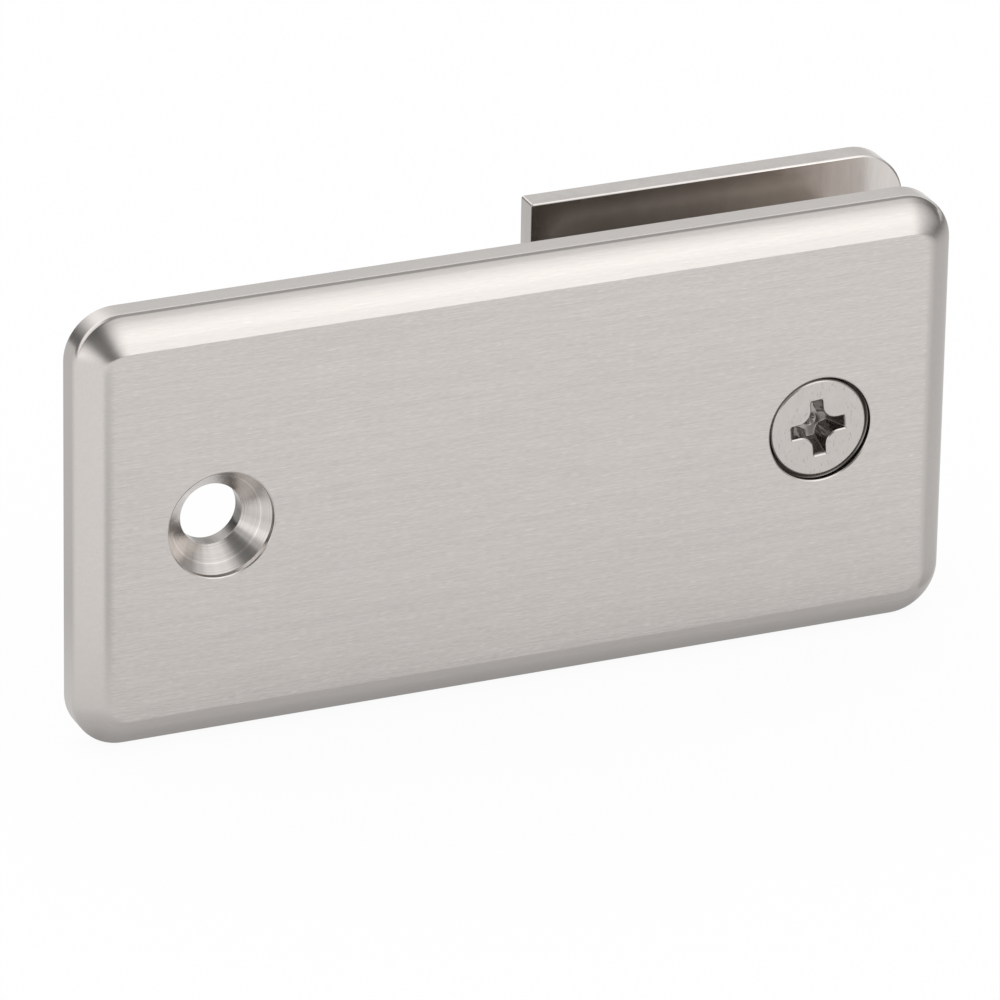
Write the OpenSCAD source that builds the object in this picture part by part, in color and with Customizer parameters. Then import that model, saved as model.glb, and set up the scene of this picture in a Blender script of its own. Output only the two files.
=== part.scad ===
// Glass clamp: a bevelled front plate that is screwed to a wall or frame through its left hole,
// and a shorter back plate that a countersunk screw draws against a pane of glass.
// Origin: centre of the front plate's back face, the plane that meets the wall and the glass.
// +X runs along the plate towards the clamp screw, +Y into the glass, +Z up. Millimetres.

/* [Front plate] */
// Length of the front plate, along X
plate_w = 102; // [98:1:120]
// Height of both plates, along Z
plate_h = 50; // [44:1:60]
// Thickness of the front plate
plate_t = 5.4; // [4.8:0.1:7]
// Radius of the front plate's corners
corner_r = 5.6; // [4.6:0.1:8]
// Width of the bevel, seen from the front
bevel_w = 3.6; // [2.4:0.1:4.2]
// Depth of the bevel, into the plate's thickness
bevel_d = 2.5; // [1.6:0.1:3]
// How far the crowned bevel stands out from its straight chord
bevel_crown = 0.35; // [0.15:0.05:0.5]
// Radius of the softened edge between the bevel and the side
edge_r = 0.35; // [0.15:0.05:0.5]

/* [Countersunk holes] */
// Distance from each end of the front plate to the axis of the nearer hole
hole_end = 16; // [13:0.5:20]
// Diameter of a countersink at the plate's face, over its softened lip
sink_d = 12.4; // [12.3:0.1:13.5]
// Width of the softened lip round a countersink
sink_lip = 0.15; // [0.1:0.05:0.3]
// Depth of the straight wall above the countersink's cone
sink_wall = 0.7; // [0.5:0.05:0.9]
// Diameter of the fixing hole below its countersink
fix_hole_d = 7; // [5:0.1:8]
// Width of the chamfer round the fixing hole at the back face
fix_back_chamfer = 0.4; // [0.2:0.1:1]
// Diameter of the clamp screw's hole below its countersink
clamp_hole_d = 6.6; // [6.3:0.1:8]

/* [Glass and gaskets] */
// Thickness of the thinnest glass, which sets the gap at rest
glass_t = 6; // [5:0.5:8]
// Play left beside the glass, on each of its faces
glass_play = 0.1; // [0:0.05:0.2]
// Thickness of each gasket
gasket_t = 1.5; // [0.5:0.1:2]
// Distance from the edges of the back plate to those of the gaskets
gasket_inset = 6; // [5:0.5:9]
// Radius of the gaskets' corners
gasket_corner_r = 3; // [1:0.5:6]
// Gap between each gasket's hole and the sleeve that passes through it
gasket_gap = 0.3; // [0.2:0.1:1]

/* [Back plate] */
// Length of the back plate, along X
jaw_w = 44.5; // [40:0.5:48]
// Thickness of the back plate
jaw_t = 2.8; // [2.5:0.1:4]
// Radius of the back plate's right-hand corners
jaw_corner_r = 5.6; // [3:0.1:8]

/* [Clamp screw] */
// Diameter over the screw's thread
thread_d = 6; // [5.4:0.1:6.1]
// Length of the screw over its head
screw_l = 16; // [14.5:0.5:16]
// Diameter of the screw's head
head_d = 11.3; // [10.9:0.1:11.6]
// Height of the head's rim above its cone
head_rim = 0.6; // [0.3:0.05:0.7]
// Radius of the rounded edge of the head's face
head_edge_r = 0.3; // [0.1:0.05:0.3]
// Gap between the head's cone and the countersink, measured across the axis
seat_gap = 0.1; // [0.05:0.01:0.2]
// Length of the cone at the screw's tip
tip_chamfer = 0.8; // [0.3:0.1:1.2]

/* [Cross recess] */
// Distance across the tips of two opposite wings, at the head's face
recess_span = 6.5; // [5:0.1:7.5]
// Width of a wing
wing_w = 1.5; // [1:0.1:1.8]
// Radius between two wings
wing_fillet = 1.6; // [0.6:0.1:2]
// Depth of the wings
recess_depth = 2.6; // [1.5:0.1:3]
// Inward slope of the wings' ends, from the screw's axis
recess_slope = 26; // [15:1:35]
// Turn of the wings from the plate's axes
recess_turn = 5; // [0:1:45]

/* [Threaded bush] */
// Diameter of the bush
bush_d = 10; // [9:0.1:11]
// How far the bush stands out of the back plate
bush_stand = 6.6; // [5:0.1:7.2]
// Diameter of the bush's neck in the back plate
neck_d = 8.6; // [8:0.1:8.9]
// Size of the swaged lip at the back plate's outer face
swage = 0.5; // [0.2:0.1:0.8]
// Radial gap between the neck and the back plate
neck_gap = 0.02; // [0.01:0.01:0.05]
// Radial gap between the screw's thread and the bush
thread_gap = 0.05; // [0.02:0.01:0.09]
// Chamfer at both mouths of the bush's bore
bore_chamfer = 0.5; // [0.2:0.1:0.8]

/* [Glass sleeve] */
// Wall of the sleeve
sleeve_wall = 1.1; // [0.8:0.1:2]
// Radial gap between the sleeve and the bush
sleeve_gap = 0.1; // [0.05:0.05:0.3]
// Gap between the sleeve's nose and the front plate, with the clamp closed
nose_gap = 0.3; // [0.2:0.1:1]
// Chamfer on the sleeve's nose
nose_chamfer = 0.4; // [0.1:0.1:0.7]

/* [Hidden] */
$fn = 96;
cut = 1;
fix_x = hole_end - plate_w / 2;
clamp_x = plate_w / 2 - hole_end;
jaw_gap = glass_t + 2 * gasket_t + 2 * glass_play;
jaw_left = plate_w / 2 - jaw_w;
sink_r = sink_d / 2;
sink_wall_r = sink_r - sink_lip;
head_r = head_d / 2;
thread_r = thread_d / 2;
bush_r = bush_d / 2;
neck_r = neck_d / 2;
bore_r = thread_r + thread_gap;
sleeve_in_r = bush_r + sleeve_gap;
sleeve_r = sleeve_in_r + sleeve_wall;
// The head's cone and the countersink's cone both slope at 45 degrees
rim_depth = sink_wall + sink_wall_r - head_r - seat_gap;
head_z = plate_t - rim_depth + head_rim;
// The bevel's arc passes through the ends of its chord
chord = norm([bevel_w, bevel_d]);
bevel_arc_r = (chord * chord / 4 + bevel_crown * bevel_crown) / (2 * bevel_crown);
arc_sink = (bevel_arc_r - bevel_crown) / chord;
bevel_centre = [corner_r - bevel_w / 2 - bevel_d * arc_sink, plate_t - bevel_d / 2 - bevel_w * arc_sink];
// The softened edge is tangent to the side and to the bevel's arc
edge_x = corner_r - edge_r;
edge_rise = sqrt(pow(bevel_arc_r - edge_r, 2) - pow(edge_x - bevel_centre[0], 2));
edge_centre = [edge_x, bevel_centre[1] + edge_rise];
edge_dir = (edge_centre - bevel_centre) / norm(edge_centre - bevel_centre);

// Each piece is drawn lying on its back, face up, and then stood up on its long edge
module stand() {
    rotate([90, 0, 0])
        children();
}

// Half of the plate's rim in section: x is the distance from a corner's centre, y the height over the back face
module rim_section() {
    reach = 4 * edge_r;
    difference() {
        square([corner_r, plate_t]);
        difference() {
            polygon([
                [corner_r - bevel_w, plate_t],
                [corner_r, plate_t - bevel_d],
                [corner_r + cut, plate_t - bevel_d],
                [corner_r + cut, plate_t + cut],
                [corner_r - bevel_w, plate_t + cut]
            ]);
            translate(bevel_centre)
                circle(bevel_arc_r);
        }
        difference() {
            polygon([
                edge_centre,
                edge_centre + [reach, 0],
                edge_centre + [reach, reach],
                edge_centre + reach * edge_dir
            ]);
            translate(edge_centre)
                circle(edge_r);
        }
    }
}

// One straight side of the rim, centred on the origin, with its outer edge towards -Y
module rim_side(length) {
    translate([length / 2, 0, 0])
        rotate([90, 0, -90])
            linear_extrude(length)
                rim_section();
}

// A rounded block with the crowned bevel carried along its straight sides and round its corners
module bevelled_block() {
    half_x = plate_w / 2 - corner_r;
    half_y = plate_h / 2 - corner_r;
    translate([-half_x, -half_y, 0])
        cube([2 * half_x, 2 * half_y, plate_t]);
    for (side = [0, 180]) {
        rotate(side) {
            translate([0, -half_y, 0])
                rim_side(2 * half_x);
            translate([half_x, 0, 0])
                rotate(90)
                    rim_side(2 * half_y);
            translate([half_x, -half_y, 0])
                rotate(-90)
                    rotate_extrude(angle = 90)
                        rim_section();
            translate([half_x, half_y, 0])
                rotate_extrude(angle = 90)
                    rim_section();
        }
    }
}

// A countersunk hole through the plate: softened lip, straight wall, 45 degree cone, then the hole itself
module countersink(hole_d) {
    cone_h = sink_wall_r - hole_d / 2;
    lip_h = 2 / 3 * sink_lip;
    translate([0, 0, -cut])
        cylinder(d = hole_d, h = plate_t + 2 * cut);
    translate([0, 0, plate_t - sink_wall - cone_h])
        cylinder(r1 = hole_d / 2, r2 = sink_wall_r, h = cone_h);
    translate([0, 0, plate_t - sink_wall])
        cylinder(r = sink_wall_r, h = sink_wall + cut);
    translate([0, 0, plate_t - lip_h])
        cylinder(r1 = sink_wall_r, r2 = sink_wall_r + 2 * sink_lip, h = 2 * lip_h);
}

module front_plate() {
    color("#c6c1bd")
        stand()
            difference() {
                bevelled_block();
                translate([fix_x, 0, 0]) {
                    countersink(fix_hole_d);
                    translate([0, 0, -fix_back_chamfer])
                        cylinder(r1 = fix_hole_d / 2 + 2 * fix_back_chamfer, r2 = fix_hole_d / 2, h = 2 * fix_back_chamfer);
                }
                translate([clamp_x, 0, 0])
                    countersink(clamp_hole_d);
            }
}

// The back plate's outline: square on the left, round on the right
module jaw_outline() {
    square_w = jaw_w - jaw_corner_r;
    translate([jaw_left, -plate_h / 2])
        square([square_w, plate_h]);
    translate([jaw_left + square_w - cut, -plate_h / 2 + jaw_corner_r])
        square([jaw_corner_r + cut, plate_h - 2 * jaw_corner_r]);
    for (side = [-1, 1])
        translate([jaw_left + square_w, side * (plate_h / 2 - jaw_corner_r)])
            circle(jaw_corner_r);
}

module back_plate() {
    seat_r = neck_r + neck_gap;
    color("#b9b4af")
        stand()
            translate([0, 0, -jaw_gap - jaw_t])
                difference() {
                    linear_extrude(jaw_t)
                        jaw_outline();
                    translate([clamp_x, 0, -cut])
                        cylinder(r = seat_r, h = jaw_t + 2 * cut);
                    translate([clamp_x, 0, -cut])
                        cylinder(r1 = seat_r + swage + cut, r2 = seat_r, h = swage + cut);
                }
}

// The cross seen from the front, with round corners between its wings
module cross_outline() {
    square([recess_span, wing_w], center = true);
    square([wing_w, recess_span], center = true);
    for (turn = [0:90:270])
        rotate(turn)
            translate([wing_w / 2, wing_w / 2])
                difference() {
                    translate([-cut / 2, -cut / 2])
                        square(wing_fillet + cut / 2);
                    translate([wing_fillet, wing_fillet])
                        circle(wing_fillet);
                }
}

// The driver's recess: the cross, held inside a cone that narrows inwards, over a pointed bottom
module cross_recess() {
    slope = tan(recess_slope);
    top_r = recess_span / 2;
    low_r = top_r - recess_depth * slope;
    point_r = wing_w;
    point_h = point_r / 2;
    intersection() {
        translate([0, 0, -recess_depth])
            linear_extrude(recess_depth + cut)
                cross_outline();
        translate([0, 0, -recess_depth])
            cylinder(r1 = low_r, r2 = top_r + cut * slope, h = recess_depth + cut);
    }
    translate([0, 0, -recess_depth - point_h])
        cylinder(r1 = 0, r2 = point_r, h = 2 * point_h);
}

// The screw's outline in half section: x from the axis, y over the head's face
module screw_section() {
    cone_h = head_r - thread_r;
    difference() {
        polygon([
            [0, 0],
            [head_r, 0],
            [head_r, -head_rim],
            [thread_r, -head_rim - cone_h],
            [thread_r, tip_chamfer - screw_l],
            [thread_r - tip_chamfer, -screw_l],
            [0, -screw_l]
        ]);
        translate([head_r - head_edge_r, -head_edge_r])
            difference() {
                square(head_edge_r + cut);
                circle(head_edge_r);
            }
    }
}

module clamp_screw() {
    color("#bdb6b0")
        stand()
            translate([clamp_x, 0, head_z])
                difference() {
                    rotate_extrude()
                        screw_section();
                    rotate(recess_turn)
                        cross_recess();
                }
}

// The bush's half section: x from the axis, y over the back plate's outer face
module bush_section() {
    length = jaw_t + bush_stand;
    polygon([
        [bore_r + bore_chamfer, 0],
        [neck_r + swage, 0],
        [neck_r, swage],
        [neck_r, jaw_t],
        [bush_r, jaw_t],
        [bush_r, length],
        [bore_r + bore_chamfer, length],
        [bore_r, length - bore_chamfer],
        [bore_r, bore_chamfer]
    ]);
}

module threaded_bush() {
    color("#a8a49e")
        stand()
            translate([clamp_x, 0, -jaw_gap - jaw_t])
                rotate_extrude()
                    bush_section();
}

module glass_sleeve() {
    length = jaw_gap - nose_gap;
    color("#ece9e2")
        stand()
            translate([clamp_x, 0, -jaw_gap])
                rotate_extrude()
                    polygon([
                        [sleeve_in_r, 0],
                        [sleeve_r, 0],
                        [sleeve_r, length - nose_chamfer],
                        [sleeve_r - nose_chamfer, length],
                        [sleeve_in_r, length]
                    ]);
}

// A gasket: a rounded sheet, as large as the back plate less its inset, with a hole for the sleeve
module gasket() {
    w = jaw_w - 2 * gasket_inset;
    h = plate_h - 2 * gasket_inset;
    r = gasket_corner_r;
    difference() {
        linear_extrude(gasket_t)
            translate([jaw_left + gasket_inset, -h / 2]) {
                translate([r, 0])
                    square([w - 2 * r, h]);
                translate([0, r])
                    square([w, h - 2 * r]);
                for (x = [r, w - r], y = [r, h - r])
                    translate([x, y])
                        circle(r);
            }
        translate([clamp_x, 0, -cut])
            cylinder(r = sleeve_r + gasket_gap, h = gasket_t + 2 * cut);
    }
}

module front_gasket() {
    color("#3a3a3c")
        stand()
            translate([0, 0, -gasket_t])
                gasket();
}

module back_gasket() {
    color("#3a3a3c")
        stand()
            translate([0, 0, -jaw_gap])
                gasket();
}

front_plate();
back_plate();
clamp_screw();
threaded_bush();
glass_sleeve();
front_gasket();
back_gasket();
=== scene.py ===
# %% [markdown]
# # A glass clamp in brushed steel
#
# The clamp holds a pane of glass beside a wall or a door frame. A long front plate is screwed to the
# wall through its left hole. Behind its right half sits a shorter back plate, and a countersunk screw
# draws the two together with the glass between them.
#
# The solids come from the CAD model, already at their real size and in their real place. This lesson
# dresses them: each piece gets a smooth skin worked out as a formula, a steel, rubber or plastic
# finish made of nodes, a studio to stand in and a camera.

import math

import bmesh
import bpy
import numpy as np
from mathutils import Matrix, Vector


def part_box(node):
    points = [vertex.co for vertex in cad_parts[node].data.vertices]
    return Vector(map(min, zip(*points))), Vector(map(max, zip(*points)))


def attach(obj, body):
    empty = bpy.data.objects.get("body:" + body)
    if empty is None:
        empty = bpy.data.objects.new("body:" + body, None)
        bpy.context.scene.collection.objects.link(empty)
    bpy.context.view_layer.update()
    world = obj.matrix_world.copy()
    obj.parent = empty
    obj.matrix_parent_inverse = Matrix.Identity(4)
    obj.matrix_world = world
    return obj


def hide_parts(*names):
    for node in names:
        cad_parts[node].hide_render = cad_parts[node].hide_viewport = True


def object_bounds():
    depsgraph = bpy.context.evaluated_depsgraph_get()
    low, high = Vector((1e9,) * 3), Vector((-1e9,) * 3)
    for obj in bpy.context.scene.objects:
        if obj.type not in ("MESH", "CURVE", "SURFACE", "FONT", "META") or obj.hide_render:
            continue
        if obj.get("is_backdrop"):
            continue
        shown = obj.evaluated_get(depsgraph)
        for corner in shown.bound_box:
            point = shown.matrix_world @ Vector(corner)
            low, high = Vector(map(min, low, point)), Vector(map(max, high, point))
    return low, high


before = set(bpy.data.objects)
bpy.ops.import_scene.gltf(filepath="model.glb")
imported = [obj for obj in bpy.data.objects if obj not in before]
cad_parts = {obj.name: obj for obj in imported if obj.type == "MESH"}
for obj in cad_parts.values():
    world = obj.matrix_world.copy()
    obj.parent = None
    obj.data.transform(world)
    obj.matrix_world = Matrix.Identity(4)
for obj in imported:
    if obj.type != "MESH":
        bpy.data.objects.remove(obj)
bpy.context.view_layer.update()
MM = 0.001


def mm_box(node):
    """Lowest and highest corner of a solid, in millimetres."""
    low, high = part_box(node)
    return np.array(low) / MM, np.array(high) / MM


print("solids:", sorted(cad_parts))

# %% [markdown]
# ## Sizes
#
# Whatever the solids can tell is read from them, so that the skins always fit. A box doesn't show the
# shape of a bevel or of a hole, so those few sizes are named here, in millimetres. X runs along the
# plate, Y goes from its front face into the glass, and Z is up.

# %% Sizes
plate_low, plate_high = mm_box("front_plate")
jaw_low, jaw_high = mm_box("back_plate")
screw_low, screw_high = mm_box("clamp_screw")
bush_low, bush_high = mm_box("threaded_bush")
sleeve_low, sleeve_high = mm_box("glass_sleeve")

FACE_Y = plate_low[1]
PLATE_T = plate_high[1] - plate_low[1]
CORNER_R = 5.6
BEVEL_W, BEVEL_D, BEVEL_CROWN = 3.6, 2.5, 0.35
CLAMP_X = (screw_low[0] + screw_high[0]) / 2
HEAD_R = (screw_high[0] - screw_low[0]) / 2
SINK_R, SINK_LIP, SINK_WALL = 6.2, 0.15, 0.7
FIX_R, FIX_CHAMFER = 3.5, 0.4
CLAMP_HOLE_R = 3.3
THREAD_R, PITCH = 3.0, 1.0
BUSH_R = (bush_high[0] - bush_low[0]) / 2
SLEEVE_R = (sleeve_high[0] - sleeve_low[0]) / 2
print("plate", np.round(plate_high - plate_low, 2), "clamp screw at x =", round(CLAMP_X, 2), "mm")

# %% [markdown]
# ## Profiles with soft edges
#
# No real edge is a knife's: even a tenth of a millimetre of rounding catches the light and draws the
# bright hairline that makes a metal part look machined. A Bevel modifier could add it, but it also
# touches edges that should stay. Here each profile is a short list of corners, and each corner has
# its own radius.

# %% Rounded profiles
ARC_STEPS = 4


def soft_corner(before, corner, after, radius, steps=ARC_STEPS):
    """The arc that rounds one corner.

    It starts and ends at radius / tan(half the corner's angle) along the two sides. Its centre lies on
    the line that halves the angle, at radius / sin(half the angle).
    """
    before, corner, after = (np.asarray(p, float) for p in (before, corner, after))
    first = (before - corner) / np.linalg.norm(before - corner)
    second = (after - corner) / np.linalg.norm(after - corner)
    half = np.arccos(np.clip(first @ second, -1, 1)) / 2
    middle = (first + second) / np.linalg.norm(first + second)
    centre = corner + middle * radius / np.sin(half)
    start = corner + first * radius / np.tan(half) - centre
    end = corner + second * radius / np.tan(half) - centre
    turn = np.arctan2(start[0] * end[1] - start[1] * end[0], start @ end)
    angle = np.linspace(0, turn, steps + 1)[:, None]
    return centre + start * np.cos(angle) + np.array([-start[1], start[0]]) * np.sin(angle)


def soft_profile(corners, radii, closed=True):
    """A line through corners, each rounded by its own radius; a radius of 0 leaves a point."""
    count = len(corners)
    parts = []
    for i, (corner, radius) in enumerate(zip(corners, radii)):
        inside = closed or 0 < i < count - 1
        if radius and inside:
            parts.append(soft_corner(corners[i - 1], corner, corners[(i + 1) % count], radius))
        else:
            parts.append([corner])
    return np.vstack(parts)


square = soft_profile([[0, 0], [1, 0], [1, 1], [0, 1]], [0.2] * 4)
print("a square with four soft corners:", len(square), "points")

# %% [markdown]
# ## From a grid to a mesh
#
# Every skin below is a grid: rows along a profile, columns round the piece. A grid that closes both
# ways has no seam at all.


# %% The cells of a grid
def grid_faces(rows, columns, closed_rows=True):
    """Four corner numbers of each cell; columns always close, rows on request. Shape (rows, columns, 4)."""
    last = rows if closed_rows else rows - 1
    i = np.arange(last)[:, None]
    j = np.arange(columns)[None, :]
    below, beside = (i + 1) % rows, (j + 1) % columns
    cells = [i * columns + j, i * columns + beside, below * columns + beside, below * columns + j]
    return np.stack(cells, axis=-1)


print("3 rows of 4 points, closed both ways:", grid_faces(3, 4)[..., 0].size, "cells")

# %% [markdown]
# ## Poles and normals
#
# Where a row shrinks to one point, as at a screw's tip, its columns are merged into a pole. Smooth
# shading alone would smear the light of a rounding over the flat face beside it, so each vertex takes
# the sum of its faces' normals times their areas: the broad face stays flat, and the narrow rounding
# takes the whole turn. Each piece prints how many of its edges are open; a solid skin has none.

# %% Meshes
MERGE = 1e-6


def weigh_normals(mesh):
    """Normal of a vertex = sum of (face normal x face area) over its faces, brought to length 1."""
    corners = np.zeros(len(mesh.loops), np.int32)
    mesh.loops.foreach_get("vertex_index", corners)
    sides = np.zeros(len(mesh.polygons), np.int32)
    mesh.polygons.foreach_get("loop_total", sides)
    area = np.zeros(len(mesh.polygons))
    mesh.polygons.foreach_get("area", area)
    facing = np.zeros(len(mesh.polygons) * 3)
    mesh.polygons.foreach_get("normal", facing)
    total = np.zeros((len(mesh.vertices), 3))
    np.add.at(total, corners, np.repeat(facing.reshape(-1, 3) * area[:, None], sides, axis=0))
    mesh.polygons.foreach_set("use_smooth", np.ones(len(mesh.polygons), bool))
    mesh.normals_split_custom_set_from_vertices(total / np.linalg.norm(total, axis=1)[:, None])


def make_piece(name, points, faces, node, body, slot):
    """A closed mesh from points in millimetres; it stands for a solid and rides on that solid's body."""
    mesh = bpy.data.meshes.new(name)
    mesh.from_pydata((points.reshape(-1, 3) * MM).tolist(), [], faces.reshape(-1, 4).tolist())
    shell = bmesh.new()
    shell.from_mesh(mesh)
    loose = [vertex for vertex in shell.verts if not vertex.link_faces]
    bmesh.ops.delete(shell, geom=loose, context="VERTS")
    bmesh.ops.remove_doubles(shell, verts=shell.verts, dist=MERGE)
    bmesh.ops.recalc_face_normals(shell, faces=shell.faces)
    open_edges = sum(not edge.is_manifold for edge in shell.edges)
    shell.to_mesh(mesh)
    shell.free()
    weigh_normals(mesh)
    piece = bpy.data.objects.new(name, mesh)
    bpy.context.scene.collection.objects.link(piece)
    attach(piece, body)
    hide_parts(node)
    print(f"{name}: {len(mesh.polygons)} faces, {open_edges} open edges")
    return piece


print("points closer than", MERGE / MM, "mm become one")

# %% [markdown]
# ## Outlines
#
# The plates and gaskets are rounded rectangles. One number, the place s, runs once round such an
# outline: each unit of it is a corner and the side that follows. Moving the whole outline inwards only
# shortens the corner radius, so one formula also gives every line of the bevel.

# %% A rounded rectangle as a function
CORNER_SIGNS = np.array([[1, 1], [-1, 1], [-1, -1], [1, -1]])
FINE_PLACES = 4001


def outline(place, middle, half, radii, inset=0.0):
    """Points of a rounded rectangle at places from 0 to 4.

    In the first half of each unit the outward direction turns by a quarter, and in the second half the
    corner's centre slides to the next one. Point = centre + (radius - inset) x direction.
    """
    corner = np.floor(place).astype(int) % 4
    following = (corner + 1) % 4
    part = place - np.floor(place)
    angle = np.pi / 2 * (corner + np.minimum(2 * part, 1))
    slide = np.maximum(2 * part - 1, 0)
    centres = middle + CORNER_SIGNS * (half - radii[:, None])
    centre = centres[corner] * (1 - slide)[:, None] + centres[following] * slide[:, None]
    radius = radii[corner] * (1 - slide) + radii[following] * slide
    return centre + (radius - inset)[:, None] * np.stack([np.cos(angle), np.sin(angle)], axis=1)


def even_places(first, last, shape, hub, count, corner_steps):
    """Places on the outline's sides that look evenly spread from a hub inside it, and those of its corners.

    The angle under which the hub sees the outline grows steadily, so it can be turned round by
    interpolation to give the place at which each wanted angle is met.
    """
    fine = np.linspace(first, last, FINE_PLACES)
    seen = outline(fine, *shape) - hub
    angle = np.unwrap(np.arctan2(seen[:, 1], seen[:, 0]))
    even = np.interp(np.linspace(angle[0], angle[-1], count + 1), angle, fine)
    even = even[even % 1 > 0.5]
    corners = (np.arange(5)[:, None] + np.linspace(0, 0.5, corner_steps + 1)).ravel()
    corners = corners[(corners >= first) & (corners <= last)]
    return np.unique(np.round(np.concatenate([[first], even, corners, [last]]), 5))


def towards(points, hub):
    """Unit directions from a hub to points."""
    away = points - hub
    return away / np.linalg.norm(away, axis=1)[:, None]


def ring(flat, y):
    """A ring of points (x, z) at one depth y, as (x, y, z)."""
    return np.stack([flat[:, 0], np.full(len(flat), y), flat[:, 1]], axis=1)


corner_ends = outline(np.array([0.0, 0.5]), np.zeros(2), np.ones(2), np.full(4, 0.2))
print("a square's first corner runs through", *np.round(corner_ends, 2).tolist())

# %% [markdown]
# ## The front plate
#
# The plate is a bar of brushed steel with a crowned bevel: seen in section, the bevel isn't a straight
# chamfer but a shallow arc, and that is what spreads the lamps into a soft glow along its edge. The
# plate has two holes, so one closed grid can't cover it. Cut down the middle, each half has one hole
# and can: its rows run from the hole's edge over the face, down the bevel, round the back and up
# through the hole. The columns are rays from the hole's axis. The two halves meet on the middle line
# and are merged there.
#
# The brushing belt runs along X. It rolls over the inner edge of the bevel at the plate's two ends and
# wears it round, while the edges along the top and the bottom stay crisp. So the rim has two
# sections, and each column blends them by how far its outward direction points along X.

# %% Front plate: sections
BEVEL_STEPS, FACE_CUT, SIDE_CUT = 16, 3, 3
INNER_STEPS, OUTER_STEPS = 7, 8
BACK_EDGE_R = 0.2
CRISP_RIM = (BEVEL_W, 0.25, 0.9)
WORN_RIM = (3.2, 4.0, 1.5)


def bevel_section(width, inner_r, outer_r):
    """The plate's rim as (inset from the outline, depth below the face).

    The bevel is an arc through the ends of its chord. Its radius is (chord^2 / 4 + crown^2) / (2 crown),
    and its centre lies on the chord's middle line. A second arc rounds it into the face and a third
    one into the side; they stand in for the bevel's first and last few points.
    """
    chord = math.hypot(width, BEVEL_D)
    radius = (chord**2 / 4 + BEVEL_CROWN**2) / (2 * BEVEL_CROWN)
    sunk = (radius - BEVEL_CROWN) / chord
    centre = np.array([width / 2 + BEVEL_D * sunk, BEVEL_D / 2 + width * sunk])
    ends = np.array([[width, 0.0], [0.0, BEVEL_D]]) - centre
    first, last = np.arctan2(ends[:, 1], ends[:, 0]) % (2 * np.pi)
    angle = np.linspace(first, last, BEVEL_STEPS + 1)[:, None]
    arc = centre + radius * np.hstack([np.cos(angle), np.sin(angle)])
    inner = soft_corner([width + 1, 0], arc[0], arc[FACE_CUT], inner_r, INNER_STEPS)
    outer = soft_corner(arc[-SIDE_CUT], arc[-1], [0, PLATE_T], outer_r, OUTER_STEPS)
    back = soft_corner([0, BEVEL_D], [0, PLATE_T], [1, PLATE_T], BACK_EDGE_R)
    return np.vstack([inner, arc[FACE_CUT + 1 : -SIDE_CUT], outer, back])


def hole_section(bore_r, chamfer):
    """A countersunk hole as (radius, depth below the face), from the back of the plate to its face."""
    wall_r = SINK_R - SINK_LIP
    corners = [
        [bore_r + chamfer + 1, PLATE_T],
        [bore_r + chamfer, PLATE_T],
        [bore_r, PLATE_T - chamfer],
        [bore_r, SINK_WALL + wall_r - bore_r],
        [wall_r, SINK_WALL],
        [wall_r, SINK_LIP * 2 / 3],
        [SINK_R, 0.0],
        [SINK_R + 1, 0.0],
    ]
    return soft_profile(corners, [0, 0.05, 0.05, 0.1, 0.08, 0.05, 0.1, 0], closed=False)[1:-1]


print("points of the rim's section:", len(bevel_section(*CRISP_RIM)))
print("points of the fixing hole's section:", len(hole_section(FIX_R, FIX_CHAMFER)))

# %% Front plate: one half, mirrored for the other
MID_STEPS = 16
MIDDLE_TOP, MIDDLE_BOTTOM = 0.75, 2.75
HALF_RAYS, HALF_CORNER_STEPS = 84, 14
CLAMP_HOLE_CHAMFER = 0.2
plate_half = np.array([plate_high[0], plate_high[2]])
plate_shape = (np.zeros(2), plate_half, np.full(4, CORNER_R))


def half_plate(side, bore_r, chamfer):
    """Points and faces of half the plate (side -1 left, 1 right), worked out on the left and mirrored."""
    hub = np.array([-CLAMP_X, 0.0])
    places = even_places(MIDDLE_TOP, MIDDLE_BOTTOM, plate_shape, hub, HALF_RAYS, HALF_CORNER_STEPS)
    step = np.linspace(-1, 1, MID_STEPS + 1)[1:-1]
    crisp, worn, hole = bevel_section(*CRISP_RIM), bevel_section(*WORN_RIM), hole_section(bore_r, chamfer)
    outward = outline(places, *plate_shape) - outline(places, *plate_shape, 1.0)
    wear = outward[:, :1] ** 2

    def around(row):
        """One row of the rim: along the half's outline, then back along the plate's middle line."""
        inset, depth = (crisp[row] * (1 - wear) + worn[row] * wear).T
        edge = outline(places, *plate_shape, inset)
        middle = np.stack([np.zeros(len(step)), step * (plate_half[1] - crisp[row, 0])], axis=1)
        depths = np.append(depth, np.full(len(step), crisp[row, 1]))
        return ring(np.vstack([edge, middle]), FACE_Y + depths)

    rows = [around(row) for row in range(len(crisp))]
    rays = towards(rows[0][:, [0, 2]], hub)
    rows += [ring(hub + radius * rays, FACE_Y + depth) for radius, depth in hole]
    points = np.array(rows) * [-side, 1, 1]
    faces = grid_faces(*points.shape[:2])
    faces[: len(crisp) - 1, len(places) - 1 :] = -1
    faces = faces.reshape(-1, 4)
    faces = faces[faces[:, 0] >= 0]
    return points.reshape(-1, 3), faces[:, ::side]


left_points, left_faces = half_plate(-1, FIX_R, FIX_CHAMFER)
right_points, right_faces = half_plate(1, CLAMP_HOLE_R, CLAMP_HOLE_CHAMFER)
front_plate = make_piece(
    "front_plate_skin",
    np.vstack([left_points, right_points]),
    np.vstack([left_faces, right_faces + len(left_points)]),
    "front_plate",
    "front_plate",
    "brushed_plate",
)

# %% [markdown]
# ## The back plate and the gaskets
#
# These are plain sheets with one hole each, so one closed grid covers each of them. The back plate was
# sawn square at its left end, where it meets nothing, and rounded at its right corners to match the
# front plate. Its hole is opened at the outer face to take the swaged lip of the bush. The gaskets
# are cut from sheet rubber.

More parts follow.
